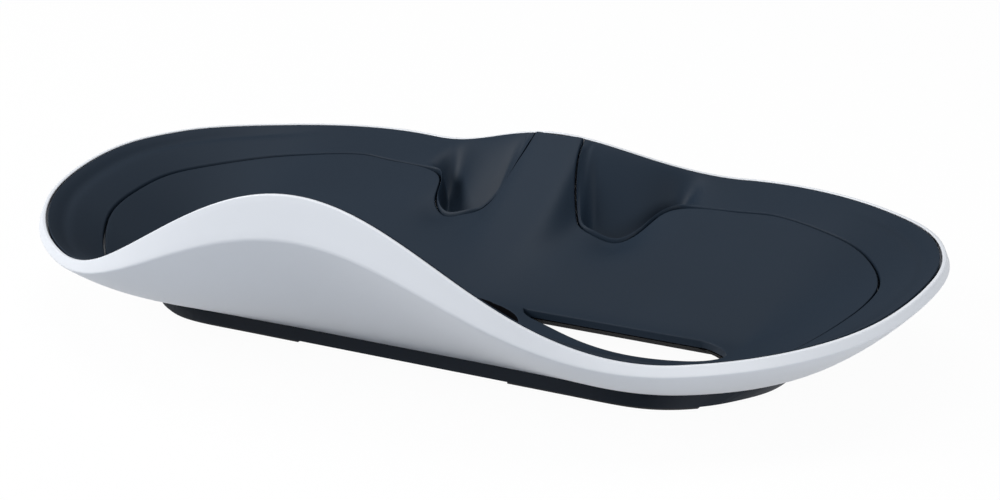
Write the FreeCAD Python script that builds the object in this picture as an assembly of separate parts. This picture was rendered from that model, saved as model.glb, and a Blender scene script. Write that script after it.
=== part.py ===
import FreeCAD, Part
import math
import os
from FreeCAD import Vector

# Charging station for two VR controllers: a pale boat-shaped outer shell round a dark dished tray.
# Millimetres, +Z up. The origin is on the table, in the middle of the station's length and depth.
# +Y is the back, where the power inlet is. The left side mirrors the right.

# Rim, the line where the pale shell meets the dark surround
rim_half_length = 138.0
rim_back_reach = 84.6
rim_front_reach = 82.4
rim_shape = [
    (0.0, 0.79), (0.174, 0.85), (0.37, 0.98), (0.55, 1.0), (0.725, 0.905), (0.877, 0.708),
    (0.978, 0.404), (1.0, 0.15), (0.979, -0.12), (0.92, -0.352), (0.797, -0.601),
    (0.638, -0.794), (0.449, -0.94), (0.254, -0.995), (0.0, -1.0)]
rim_front_height = 26.2
rim_end_height = 33.3
rim_back_height = 32.0
hump_height = 36.2
hump_half_width = 97.0
neck_rise = 11.5
neck_half_spread = 56.0

# Pale outer shell
shell_wall = 2.4
shell_lip = 1.1
crease_out = 2.2
crease_drop = 2.7
hump_crease_drop = 12.2
hull_bulge = 2.0
shell_bottom = 4.9
hull_half_length = 107.5
hull_back_reach = 58.0
hull_front_reach = 33.1
hull_shape = [
    (0.0, 1.0), (0.22, 1.01), (0.44, 1.02), (0.65, 1.0), (0.82, 0.88), (0.93, 0.67),
    (0.986, 0.36), (1.0, 0.11), (0.98, -0.16), (0.94, -0.39), (0.87, -0.63),
    (0.744, -0.89), (0.56, -1.0), (0.32, -1.0), (0.0, -1.0)]

# Dished surface of the surround and the tray
dish_floor = 8.7
dish_half_length = 88.0
dish_back_edge = 2.5
dish_front_edge = -17.0
dish_end_slope = 0.5
dish_back_slope = 0.31
dish_front_slope = 0.385
dish_round = 1.2
hump_inner_rise = 26.0
neck_ridge = 15.55
neck_ridge_half_width = 13.0
neck_flat = 66.0
pocket_sink = 2.8
panel = 2.2
seam_gap = 0.65
rim_gap = 0.65

# Seam between the surround and the centre tray
back_border = 17.9
end_border = 16.5
border_turn = 70.0
border_turn_run = 30.0
neck_half_width = 8.8
neck_bow = 1.8
pocket_lip = [
    (8.8, 16.7, 47.3), (13.0, 21.0, 45.4), (18.0, 27.5, 45.5), (24.0, 33.0, 47.6),
    (30.0, 36.6, 52.8), (34.0, 38.2, 57.8), (38.5, 41.2, 62.9), (45.0, 46.5, 65.1)]
pocket_depth = 10.5
pocket_lip_width = 1.2
pocket_wall_run = 4.2
pocket_end = 36.0
pocket_end_run = 10.0
pocket_profile = [
    (0.0, 0.0), (0.1, 0.06), (0.24, 0.28), (0.42, 0.64), (0.6, 0.92), (0.74, 1.0),
    (0.84, 0.9), (0.9, 0.55), (0.95, 0.08), (1.0, 0.0)]
edge_band_drop = 0.6

# Through hole in each bay and the oval opening behind the hump
hole_inner_end = 19.0
hole_outer_end = 87.5
hole_back = 2.9
hole_front = -16.9
hole_lean = 10.5
hole_shape = [
    (0.83, 0.0), (0.945, 0.13), (1.0, 0.37), (0.955, 0.68), (0.86, 0.87), (0.66, 1.0),
    (0.40, 0.8), (0.17, 0.4), (0.05, 0.12), (0.03, 0.0)]
oval_half_length = 26.0
oval_back_depth = 18.0
oval_front_depth = 10.5
oval_middle = -13.4
sleeve_wall = 1.8

# Base plate and feet
base_bottom = 0.8
base_floor = 2.2
base_half_length = 102.5
base_back_reach = 54.5
base_front_reach = 33.1
base_shape = [
    (0.0, 1.0), (0.22, 1.01), (0.44, 1.02), (0.65, 1.0), (0.82, 0.88), (0.93, 0.67),
    (0.986, 0.36), (1.0, 0.11), (0.985, -0.17), (0.94, -0.45), (0.87, -0.73),
    (0.744, -0.96), (0.56, -1.0), (0.32, -1.0), (0.0, -1.0)]
skirt_inset = 0.6
locating_inset = 4.4
locating_wall = 1.6
locating_height = 3.0
locating_root = 1.0
fit_gap = 0.3
foot_recess = 0.7
front_foot_start = 34.4
front_foot_end = 88.0
front_foot_edge = 0.8
front_foot_width = 8.4
rear_foot_start = 24.0
rear_foot_end = 74.0
rear_foot_front = 15.4
rear_foot_width = 10.0

# Tray bosses and the screws that hold the base
boss_places = [(36.0, 34.0), (97.0, 12.0), (30.0, -22.0)]
boss_radius = 3.0
pilot_radius = 1.0
screw_radius = 0.95
screw_hole_radius = 1.5
screw_head_radius = 2.6
screw_head_height = 1.2
screw_length = 6.0
drive_radius = 1.1
drive_depth = 0.7

# Power inlet in the back of the shell
inlet_height = 12.0
inlet_reach = 12.0
inlet_bezel_width = 15.0
inlet_bezel_height = 7.0
socket_width = 9.0
socket_height = 3.2
socket_length = 8.0
socket_skin = 0.35
socket_tongue_width = 6.6
socket_tongue_height = 0.7
part_gap = 0.15

# Main board
board_half_width = 17.0
board_front = hull_back_reach - 36.0
board_length = 33.6
board_thickness = 1.6
board_bottom = 8.8
standoff_radius = 2.4
standoff_inset = 3.2
chips = [(-4.0, 16.0, 7.0, 7.0, 1.0), (7.5, 15.0, 5.0, 4.0, 1.4), (-11.0, 25.0, 3.0, 5.0, 1.6),
         (5.0, 24.0, 6.0, 3.0, 1.2)]
header_width = 4.0
header_length = 6.0
header_height = 2.6
header_place = board_front + 23.0

# Charging contacts in the pockets
contact_rim_x = 21.0
contact_share = 0.8
contact_width = 9.0
contact_depth = 3.8
contact_proud = 0.5
contact_block_height = 4.0
contact_pad_pitch = 2.7
contact_pad_radius = 0.9
contact_pad_proud = 0.25
contact_board_width = 15.0
contact_board_depth = 5.2
contact_board_thickness = 1.2
pillar_radius = 1.8
lead_radius = 0.7
lead_turn = 1.2

# Steel ballast in each end
ballast_inner_end = 44.0
ballast_outer_end = 86.0
ballast_front = 20.0
ballast_back = 42.0
ballast_thickness = 3.4
ballast_corner = 4.0
ballast_rest = 2.6
ballast_screw_length = 7.0
ballast_screw_inset = 6.0

half_stations = 34


def smooth(value):
    value = min(1.0, max(0.0, value))
    return value * value * (3.0 - 2.0 * value)


def swell(distance, half_width):
    """One on the middle line, falling in a half wave to nothing at the half width."""
    return 0.5 * (1.0 + math.cos(math.pi * min(1.0, abs(distance) / half_width)))


def between(start, end, share):
    return start + (end - start) * share


def closed_keys(shape, half_length, back, front):
    half = [(x * half_length, y * (back if y > 0 else front)) for x, y in shape]
    return half + [(-x, y) for x, y in half[-2:0:-1]]


def key_places(points):
    """Spline places that follow the root of the distance from key to key."""
    places = [0.0]
    for here, there in zip(points, points[1:] + points[:1]):
        places.append(places[-1] + math.sqrt(math.dist(here, there)))
    return [place / places[-1] for place in places]


def closed_spline(points, places):
    curve = Part.BSplineCurve()
    vectors = [Vector(*point) for point in points]
    curve.interpolate(Points=vectors, PeriodicFlag=True, Parameters=places)
    return curve


rim_keys = closed_keys(rim_shape, rim_half_length, rim_back_reach, rim_front_reach)
rim_places = key_places(rim_keys)


def plan_spline(shape, half_length, back, front):
    """Closed outline in plan whose places match the rim's."""
    keys = closed_keys(shape, half_length, back, front)
    return closed_spline([(x, y, 0.0) for x, y in keys], rim_places)


rim_plan = plan_spline(rim_shape, rim_half_length, rim_back_reach, rim_front_reach)
hull_plan = plan_spline(hull_shape, hull_half_length, hull_back_reach, hull_front_reach)
base_plan = plan_spline(base_shape, base_half_length, base_back_reach, base_front_reach)


def plan_point(plan, place, out=0.0):
    """Point of an outline, moved out along its normal in plan."""
    point = plan.value(place)
    along = plan.tangent(place)[0]
    return point + Vector(-along.y, along.x, 0) * out


def rim_place(x):
    """Place on the back of the rim, right of the middle, that lies at x."""
    low, high = 0.0, rim_places[4]
    for _ in range(50):
        middle = (low + high) / 2
        if rim_plan.value(middle).x < x:
            low = middle
        else:
            high = middle
    return low


def hump_share(x, y):
    return swell(x, hump_half_width) * smooth((-y - 40.0) / 25.0)


def rim_height(point):
    level = between(rim_front_height, rim_end_height, smooth((point.y + 62.0) / 95.0))
    level += (rim_back_height - rim_end_height) * smooth((point.y - 45.0) / 30.0)
    neck = neck_rise * swell(point.x, neck_half_spread) * smooth((point.y - 20.0) / 30.0)
    return level + hump_height * hump_share(point.x, point.y) + neck


def dish_height(x, y):
    """Top of the dished tray: level at the holes, rising to the rim, with the neck at the back."""
    past_end = max(0.0, abs(x) - dish_half_length)
    past_back = max(0.0, y - dish_back_edge)
    past_front = max(0.0, dish_front_edge - y)
    rise = math.hypot(past_end * dish_end_slope,
                      past_back * dish_back_slope + past_front * dish_front_slope)
    level = dish_floor + math.hypot(rise, dish_round) - dish_round
    front_share = past_front / (rim_front_reach + dish_front_edge)
    level += hump_inner_rise * swell(x, hump_half_width) * front_share ** 2
    neck_share = max(0.0, min(y, neck_flat) + 1.4) / 66.0
    steepness = 3.0 + 5.0 * smooth((y - 20.0) / 30.0)
    level += neck_ridge * neck_share ** 2 / (1.0 + (abs(x) / neck_ridge_half_width) ** steepness)
    sink = math.exp(-((abs(x) - 30.0) / 7.0) ** 2 - ((y - 46.2) / 9.0) ** 2)
    return level - pocket_sink * sink


def closed_ring(points):
    """Closed edge through points at even places."""
    places = [index / len(points) for index in range(len(points) + 1)]
    return closed_spline(points, places).toShape()


def ring_from(place_to_point):
    count = 4 * half_stations
    return closed_ring([place_to_point(index / count) for index in range(count)])


def rim_ring(out, drop, hump_drop):
    """Ring beside the rim: moved out and down, and further down at the hump."""
    def at(place):
        rim = rim_plan.value(place)
        lower = between(drop, hump_drop, hump_share(rim.x, rim.y))
        point = plan_point(rim_plan, place, out)
        return Vector(point.x, point.y, rim_height(rim) - lower)
    return ring_from(at)


def plan_ring(plan, out, level):
    def at(place):
        point = plan_point(plan, place, out)
        return Vector(point.x, point.y, level)
    return ring_from(at)


def hull_ring(share, inset):
    """Ring on the lower facet of the shell, a share of the way from the crease to the bottom."""
    def at(place):
        rim = rim_plan.value(place)
        drop = between(crease_drop, hump_crease_drop, hump_share(rim.x, rim.y))
        top = plan_point(rim_plan, place, crease_out)
        top.z = rim_height(rim) - drop
        low = hull_plan.value(place)
        low.z = shell_bottom
        side = low - top
        normal = Vector(-side.x * side.z, -side.y * side.z, side.x ** 2 + side.y ** 2).normalize()
        if normal.z > 0:
            normal = normal * -1
        bulge = hull_bulge * 4.0 * share * (1.0 - share)
        return top + side * share + normal * (bulge - inset)
    return ring_from(at)


def solid_of(faces):
    shell = Part.makeShell(faces)
    shell.sewShape()
    solid = Part.makeSolid(shell)
    if solid.Volume < 0:
        solid.reverse()
    return solid


def ribbon_solid(rings):
    """Closed solid whose skin is ruled from each ring to the next, and back to the first."""
    faces = []
    for here, there in zip(rings, rings[1:] + rings[:1]):
        faces += Part.makeRuledSurface(here, there).Faces
    return solid_of(faces)


def outer_shell():
    rings = [
        rim_ring(0.0, 0.0, 0.0),
        rim_ring(shell_lip, 0.0, 0.0),
        hull_ring(0.0, 0.0), hull_ring(0.35, 0.0), hull_ring(0.7, 0.0),
        plan_ring(hull_plan, 0.0, shell_bottom),
        plan_ring(hull_plan, -shell_wall * 1.3, shell_bottom),
        hull_ring(0.7, shell_wall), hull_ring(0.35, shell_wall),
        rim_ring(crease_out - shell_wall, crease_drop + 1.2, hump_crease_drop + 1.2)]
    return ribbon_solid(rings)


def border(x):
    return between(back_border, end_border, smooth((abs(x) - border_turn) / border_turn_run))


def inner_seam():
    """Seam in plan, one point for each place on the rim, from the neck round to the neck."""
    last_x = pocket_lip[-1][0]
    keys = [(rim_place(rim_x), Vector(x, y, 0)) for rim_x, x, y in pocket_lip]
    for place in rim_places[1:len(rim_shape)]:
        rim = rim_plan.value(place)
        if rim.x > last_x + 5.0 or place > 0.3:
            keys.append((place, plan_point(rim_plan, place, -border(rim.x))))
    middle = keys[-1]
    keys += [(1.0 - place, Vector(-point.x, point.y, 0)) for place, point in keys[-2::-1]]
    curve = Part.BSplineCurve()
    curve.interpolate(Points=[point for _, point in keys],
                      Parameters=[place for place, _ in keys])
    return curve


seam_plan = inner_seam()


def profile_value(profile, share):
    for (s0, v0), (s1, v1) in zip(profile, profile[1:]):
        if share <= s1:
            return between(v0, v1, (share - s0) / (s1 - s0))
    return profile[-1][1]


def surround_places():
    """Places along the surround, close together at the neck."""
    near = [neck_half_width + step for step in (0.0, 0.7, 1.5, 2.5, 3.8, 5.6, 8.0)]
    half = [rim_place(x) for x in near]
    start = half[-1]
    half += [between(start, 0.5, index / half_stations) for index in range(1, half_stations)]
    return half + [0.5] + [1.0 - place for place in half[::-1]]


def surround_point(place, share):
    """Point on top of the surround, a share of the way from the rim to the seam."""
    rim = plan_point(rim_plan, place, -rim_gap)
    inner = seam_plan.value(place)
    point = rim + (inner - rim) * share
    near_back = place < rim_places[4] or place > 1.0 - rim_places[4]
    side = 1.0 if point.x >= 0 else -1.0
    rim_x = abs(rim_plan.value(place).x) if near_back else rim_half_length
    bow = neck_bow * 4.0 * share * (1.0 - share)
    point.x -= side * bow * (1.0 - smooth((rim_x - neck_half_width) / 8.0))
    top = rim_height(rim_plan.value(place))
    low = dish_height(inner.x, inner.y)
    on_seam = dish_height(point.x, point.y)
    from_neck = smooth((rim_x - neck_half_width) / 3.0)
    near_rim = 1.0 - smooth(share / 0.2)
    level = between(on_seam, between(top, low, share), max(from_neck, near_rim))
    start = neck_half_width + pocket_lip_width
    depth = smooth((rim_x - start) / pocket_wall_run)
    depth *= 1.0 - smooth((rim_x - pocket_end) / pocket_end_run)
    level -= pocket_depth * depth * profile_value(pocket_profile, share)
    band = math.exp(-((share - 0.27) / 0.12) ** 2)
    level -= edge_band_drop * band * smooth((abs(point.x) - 90.0) / 25.0)
    return Vector(point.x, point.y, level)


def surround_skin():
    shares = [share for share, _ in pocket_profile]
    grid = [[surround_point(place, share) for share in shares] for place in surround_places()]
    skin = Part.BSplineSurface()
    skin.interpolate(grid)
    return skin.toShape()


def surround():
    return surround_skin().extrude(Vector(0, 0, -panel))


def seam_trace():
    """Edge of the surround in plan, down one side of the neck, round the tray and up the other."""
    steps = [index / 10 for index in range(10)]
    first = surround_places()[0]
    trace = [surround_point(first, share) for share in steps]
    trace += [surround_point(place, 1.0) for place in surround_places()]
    trace += [surround_point(1.0 - first, share) for share in steps[::-1]]
    return [Vector(point.x, point.y, 0) for point in trace]


def tray_outline():
    """Closed wire in plan just inside the seam, with the neck's end at the back of the rim."""
    trace = seam_trace()
    moved = []
    for index, point in enumerate(trace):
        before = trace[max(0, index - 1)]
        after = trace[min(len(trace) - 1, index + 1)]
        along = (after - before).normalize()
        moved.append(point + Vector(along.y, -along.x, 0) * seam_gap)
    side = Part.BSplineCurve()
    side.interpolate(Points=moved)
    start, end = moved[0], moved[-1]
    middle = plan_point(rim_plan, 0.0, -rim_gap)
    back = Part.Arc(end, middle, start)
    return Part.Wire([side.toShape(), back.toShape()])


def dish_skin():
    step = 4.0
    reach_x = math.ceil((rim_half_length - end_border + 2.0) / step)
    low_y = -math.ceil((rim_front_reach - 4.0) / step)
    high_y = math.ceil((rim_back_reach - 8.0) / step)
    grid = [[Vector(i * step, j * step, dish_height(i * step, j * step))
             for j in range(low_y, high_y + 1)] for i in range(-reach_x, reach_x + 1)]
    skin = Part.BSplineSurface()
    skin.interpolate(grid)
    return skin.toShape()


def prism(wire, low, high):
    face = Part.Face(wire)
    face.translate(Vector(0, 0, low))
    return face.extrude(Vector(0, 0, high - low))


def hole_wire(side, grow, lean, level):
    """Outline of a bay's through hole: straight at the back, bowed at the front."""
    inner, outer = hole_inner_end - grow, hole_outer_end + grow
    back, front = hole_back + grow, hole_front - grow
    points = []
    for x_share, y_share in hole_shape:
        x = between(inner, outer, x_share)
        y = between(back, front, y_share) + lean * max(0.0, 1.0 - y_share * 3.0)
        points.append(Vector(side * x, y, level))
    bow = Part.BSplineCurve()
    bow.interpolate(Points=points)
    straight = Part.LineSegment(points[-1], points[0])
    return Part.Wire([bow.toShape(), straight.toShape()])


def oval_wire(grow, level):
    """Oval with a deeper back half than front half, centred on the middle line."""
    middle = Vector(0, oval_middle, level)
    major = oval_half_length + grow
    back = Part.Ellipse(middle, major, oval_back_depth + grow)
    front = Part.Ellipse(middle, major, oval_front_depth + grow)
    return Part.Wire([back.toShape(0.0, math.pi), front.toShape(math.pi, 2 * math.pi)])


def centre_tray():
    slab = dish_skin().extrude(Vector(0, 0, -panel))
    tray = slab.common(prism(tray_outline(), -10.0, 90.0))
    for side in (1, -1):
        tray = tray.cut(prism(hole_wire(side, 0.0, 0.0, 0.0), 0.0, 40.0))
    return tray.cut(prism(oval_wire(0.0, 0.0), 0.0, 60.0))


def cylinder(x, y, radius, low, high):
    return Part.makeCylinder(radius, high - low, Vector(x, y, low))


def block(x0, x1, y0, y1, low, high):
    return Part.makeBox(x1 - x0, y1 - y0, high - low, Vector(x0, y0, low))


def mirrored(shape):
    return shape.mirror(Vector(0, 0, 0), Vector(1, 0, 0))


def both_sides(shape):
    return [shape, mirrored(shape)]


def rounded_block(x0, x1, y0, y1, low, high, radius):
    slab = block(x0, x1, y0, y1, low, high)
    edges = [edge for edge in slab.Edges
             if abs(edge.Vertexes[0].X - edge.Vertexes[1].X) < 1e-6
             and abs(edge.Vertexes[0].Y - edge.Vertexes[1].Y) < 1e-6]
    return slab.makeFillet(radius, edges)


def slot_along_y(width, height, y0, y1, middle):
    """Round-ended bar along Y, centred on X at the given height."""
    radius = height / 2
    reach = width / 2 - radius
    bar = Part.makeBox(2 * reach, y1 - y0, height, Vector(-reach, y0, middle - radius))
    for x in (-reach, reach):
        end = Part.makeCylinder(radius, y1 - y0, Vector(x, y0, middle), Vector(0, 1, 0))
        bar = bar.fuse(end)
    return bar.removeSplitter()


def inlet_opening(grow):
    return slot_along_y(inlet_bezel_width + 2 * grow, inlet_bezel_height + 2 * grow,
                        hull_back_reach - inlet_reach, hull_back_reach + inlet_reach,
                        inlet_height)


def shell_and_bezel(whole):
    shell = whole.cut(inlet_opening(0.0))
    bezel = whole.common(inlet_opening(-part_gap))
    mouth = slot_along_y(socket_width + 2 * part_gap, socket_height + 2 * part_gap,
                         hull_back_reach - inlet_reach, hull_back_reach + inlet_reach,
                         inlet_height)
    return shell, bezel.cut(mouth)


def socket_back(whole):
    """How far back the socket may reach inside the shell's leaning back wall."""
    low = inlet_height - socket_height / 2
    probe = Part.makeLine(Vector(0, 0, low), Vector(0, rim_back_reach, low))
    return whole.common(probe).BoundBox.YMin - fit_gap


def power_socket(back):
    front = back - socket_length
    outside = slot_along_y(socket_width, socket_height, front, back, inlet_height)
    inside = slot_along_y(socket_width - 2 * socket_skin, socket_height - 2 * socket_skin,
                          front + 1.0, back, inlet_height)
    half = socket_tongue_width / 2
    thick = socket_tongue_height / 2
    tongue = block(-half, half, front + 0.5, back - 0.8, inlet_height - thick, inlet_height + thick)
    return outside.cut(inside).fuse(tongue).removeSplitter()


def sky():
    """Everything above the tray's and the surround's undersides."""
    tray = dish_skin()
    tray.translate(Vector(0, 0, -panel - fit_gap))
    return tray.extrude(Vector(0, 0, 90.0))


def sleeve(side, grow):
    low, knee, high = base_bottom - 0.01 * (grow == 0), dish_floor - panel - fit_gap, 30.0
    foot = hole_wire(side, grow, hole_lean, low)
    top = hole_wire(side, grow, 0.0, knee)
    lower = Part.makeLoft([foot, top], True, True)
    upper = prism(hole_wire(side, grow, 0.0, 0.0), knee, high)
    return lower.fuse(upper)


def base_skirt():
    low, high = base_bottom, shell_bottom - part_gap
    bottom = Part.Wire([plan_ring(base_plan, 0.0, low)])
    top = Part.Wire([plan_ring(hull_plan, -skirt_inset, high)])
    return Part.makeLoft([bottom, top], True, True)


def base_pan():
    floor_top = base_bottom + base_floor
    pan = base_skirt()
    inner = Part.Wire([plan_ring(hull_plan, -locating_inset - locating_wall, 0.0)])
    outer = Part.Wire([plan_ring(hull_plan, -locating_inset, 0.0)])
    rim = shell_bottom + locating_height
    lip = prism(outer, base_bottom + locating_root, rim)
    return pan.fuse(lip).cut(prism(inner, floor_top, rim + 1.0))


def screw_head_pocket(x, y):
    depth = screw_head_height + 0.2
    hole = cylinder(x, y, screw_hole_radius, base_bottom - 1.0, base_bottom + base_floor + 1.0)
    return hole.fuse(cylinder(x, y, screw_head_radius + part_gap, base_bottom - 1.0,
                              base_bottom + depth))


def standoff_places():
    back = board_front + board_length
    xs = board_half_width - standoff_inset
    return [(xs, board_front + standoff_inset), (xs, back - standoff_inset)]


def contact_place():
    return surround_point(rim_place(contact_rim_x), contact_share)


def contact_board_bottom():
    top = contact_place().z + contact_proud
    return top - contact_block_height - contact_board_thickness


def pillar_places():
    middle = contact_place()
    reach = contact_board_width / 2 - pillar_radius - 0.3
    return [(middle.x - reach, middle.y), (middle.x + reach, middle.y)]


def base_plate():
    floor_top = base_bottom + base_floor
    plate = base_pan()
    walls = [sleeve(1, sleeve_wall), sleeve(-1, sleeve_wall),
             prism(oval_wire(sleeve_wall, 0.0), base_bottom, 30.0)]
    for wall in walls:
        plate = plate.fuse(wall)
    plate = plate.cut(sleeve(1, 0.0)).cut(sleeve(-1, 0.0))
    plate = plate.cut(prism(oval_wire(0.0, 0.0), floor_top, 40.0))
    plate = plate.cut(sky())
    for x, y in standoff_places():
        for post in both_sides(cylinder(x, y, standoff_radius, floor_top - 0.5, board_bottom)):
            plate = plate.fuse(post)
        for hole in both_sides(cylinder(x, y, pilot_radius, floor_top, board_bottom + 1.0)):
            plate = plate.cut(hole)
    for x, y in pillar_places():
        for post in both_sides(cylinder(x, y, pillar_radius, floor_top - 0.5,
                                        contact_board_bottom())):
            plate = plate.fuse(post)
    for x, y in ballast_screw_places():
        for post in both_sides(cylinder(x, y, boss_radius, floor_top - 0.5,
                                        floor_top + ballast_rest)):
            plate = plate.fuse(post)
        for hole in both_sides(cylinder(x, y, pilot_radius, floor_top, floor_top + 10.0)):
            plate = plate.cut(hole)
    for x, y in boss_places:
        for pocket in both_sides(screw_head_pocket(x, y)):
            plate = plate.cut(pocket)
    for foot in front_feet(foot_recess) + rear_feet(foot_recess):
        plate = plate.cut(foot)
    return plate.removeSplitter()


def front_feet(extra):
    """Rubber strips along the base's front edge, one each side."""
    outer = prism(Part.Wire([plan_ring(base_plan, -front_foot_edge, 0.0)]),
                  0.0, base_bottom + extra)
    inner = prism(Part.Wire([plan_ring(base_plan, -front_foot_edge - front_foot_width, 0.0)]),
                  -1.0, base_bottom + extra + 1.0)
    strip = outer.cut(inner)
    window = block(front_foot_start, front_foot_end, -base_front_reach - 5.0, 0.0, -1.0, 5.0)
    return both_sides(strip.common(window))


def rear_feet(extra):
    pad = rounded_block(rear_foot_start, rear_foot_end, rear_foot_front,
                        rear_foot_front + rear_foot_width, 0.0, base_bottom + extra,
                        rear_foot_width * 0.45)
    return both_sides(pad)


def tray_with_bosses():
    tray = centre_tray()
    low = base_bottom + base_floor + fit_gap
    for x, y in boss_places:
        high = dish_height(x, y) - panel / 2
        for boss in both_sides(cylinder(x, y, boss_radius, low, high)):
            tray = tray.fuse(boss)
        pilot = cylinder(x, y, pilot_radius, low - 1.0, high - 0.4)
        for hole in both_sides(pilot):
            tray = tray.cut(hole)
    return tray.removeSplitter()


def screw(x, y, head_low, up, length):
    """Pan-head screw with a cross recess; its shank points up or down."""
    head = cylinder(x, y, screw_head_radius, head_low, head_low + screw_head_height)
    if up:
        shank = cylinder(x, y, screw_radius, head_low, head_low + length)
        face = head_low
    else:
        top = head_low + screw_head_height
        shank = cylinder(x, y, screw_radius, top - length, top)
        face = top - drive_depth
    arm = drive_radius * 0.3
    cross = block(x - drive_radius, x + drive_radius, y - arm, y + arm, face, face + drive_depth)
    cross = cross.fuse(block(x - arm, x + arm, y - drive_radius, y + drive_radius,
                             face, face + drive_depth))
    return head.fuse(shank).cut(cross)


def group(places, head_low, up, length=screw_length):
    solids = []
    for x, y in places:
        solids += both_sides(screw(x, y, head_low, up, length))
    return Part.makeCompound(solids)


def main_board():
    back = board_front + board_length
    top = board_bottom + board_thickness
    board = block(-board_half_width, board_half_width, board_front, back, board_bottom, top)
    for x, y in standoff_places():
        for hole in both_sides(cylinder(x, y, screw_hole_radius, board_bottom - 1, top + 1)):
            board = board.cut(hole)
    return board


def board_parts():
    top = board_bottom + board_thickness
    solids = []
    for x, from_front, width, depth, height in chips:
        y = board_front + from_front
        solids.append(block(x - width / 2, x + width / 2, y - depth / 2, y + depth / 2,
                            top, top + height))
    return Part.makeCompound(solids)


def lead_header():
    top = board_bottom + board_thickness
    outer = board_half_width - 0.5
    return block(outer - header_width, outer, header_place - header_length / 2,
                 header_place + header_length / 2, top, top + header_height)


def contact_block():
    middle = contact_place()
    top = middle.z + contact_proud
    low = top - contact_block_height
    half_w, half_d = contact_width / 2, contact_depth / 2
    body = rounded_block(middle.x - half_w, middle.x + half_w, middle.y - half_d,
                         middle.y + half_d, low, top, half_d * 0.9)
    for step in (-1, 0, 1):
        body = body.cut(cylinder(middle.x + step * contact_pad_pitch, middle.y,
                                 contact_pad_radius, low - 1.0, top + 1.0))
    return body


def contact_pads():
    middle = contact_place()
    top = middle.z + contact_proud
    low = top - contact_block_height
    return Part.makeCompound([
        cylinder(middle.x + step * contact_pad_pitch, middle.y, contact_pad_radius,
                 low, top + contact_pad_proud) for step in (-1, 0, 1)])


def contact_board():
    middle = contact_place()
    low = contact_board_bottom()
    half_w, half_d = contact_board_width / 2, contact_board_depth / 2
    return block(middle.x - half_w, middle.x + half_w, middle.y - half_d, middle.y + half_d,
                 low, low + contact_board_thickness)


def surround_with_windows():
    middle = contact_place()
    half_w = contact_width / 2 + part_gap
    half_d = contact_depth / 2 + part_gap
    window = rounded_block(middle.x - half_w, middle.x + half_w, middle.y - half_d,
                           middle.y + half_d, 0.0, middle.z + 20.0, half_d * 0.9)
    body = surround()
    for cut in both_sides(window):
        body = body.cut(cut)
    return body


def rounded_path(points, radius):
    """Wire of straight runs through the points, with an arc at each turn."""
    edges = []
    start = points[0]
    for before, corner, after in zip(points, points[1:], points[2:]):
        back = (before - corner).normalize()
        ahead = (after - corner).normalize()
        turn = math.pi - back.getAngle(ahead)
        reach = radius * math.tan(turn / 2)
        first = corner + back * reach
        last = corner + ahead * reach
        bisector = (back + ahead).normalize()
        middle = corner + bisector * (radius / math.cos(turn / 2) - radius)
        edges.append(Part.LineSegment(start, first).toShape())
        edges.append(Part.Arc(first, middle, last).toShape())
        start = last
    edges.append(Part.LineSegment(start, points[-1]).toShape())
    return Part.Wire(edges)


def contact_lead():
    """Lead from the board's header to the underside of the contact board."""
    level = board_bottom + board_thickness + header_height / 2
    low = contact_board_bottom() - lead_radius
    middle = contact_place()
    start = board_half_width - 0.5
    points = [Vector(start, header_place, level),
              Vector(start + 2.0, header_place, level),
              Vector(start + 4.2, header_place, low),
              Vector(middle.x, header_place, low),
              Vector(middle.x, middle.y + 1.0, low)]
    path = rounded_path(points, lead_turn)
    disc = Part.Wire([Part.Circle(points[0], Vector(1, 0, 0), lead_radius).toShape()])
    return path.makePipeShell([disc], True, False)


def ballast():
    low = base_bottom + base_floor + ballast_rest
    plate = rounded_block(ballast_inner_end, ballast_outer_end, ballast_front, ballast_back,
                          low, low + ballast_thickness, ballast_corner)
    for x, y in ballast_screw_places():
        plate = plate.cut(cylinder(x, y, screw_hole_radius, low - 1, low + ballast_thickness + 1))
    return plate


def ballast_screw_places():
    middle = (ballast_front + ballast_back) / 2
    return [(ballast_inner_end + ballast_screw_inset, middle),
            (ballast_outer_end - ballast_screw_inset, middle)]


def save(name, shape):
    shape.exportStep(os.path.join("parts", name + ".step"))
    print(name, len(shape.Solids), round(shape.Volume), shape.isValid())


def save_pair(name, shape):
    save("right_" + name, shape)
    save("left_" + name, mirrored(shape))


def main():
    os.makedirs("parts", exist_ok=True)
    whole = outer_shell()
    shell, bezel = shell_and_bezel(whole)
    save("outer_shell", shell)
    save("inlet_bezel", bezel)
    save("surround", surround_with_windows())
    save("centre_tray", tray_with_bosses())
    save("base_plate", base_plate())
    save_pair("front_foot", front_feet(foot_recess)[0])
    save_pair("rear_foot", rear_feet(foot_recess)[0])
    save("power_socket", power_socket(socket_back(whole)))
    save("main_board", main_board())
    save("board_parts", board_parts())
    save_pair("lead_header", lead_header())
    save_pair("contact_lead", contact_lead())
    save_pair("contact_block", contact_block())
    save_pair("contact_pads", contact_pads())
    save_pair("contact_board", contact_board())
    save_pair("ballast", ballast())
    save("base_screws", group(boss_places, base_bottom + 0.2, True))
    save("board_screws", group(standoff_places(), board_bottom + board_thickness, False))
    ballast_top = base_bottom + base_floor + ballast_rest + ballast_thickness
    save("ballast_screws",
         group(ballast_screw_places(), ballast_top, False, ballast_screw_length))


main()
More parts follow.
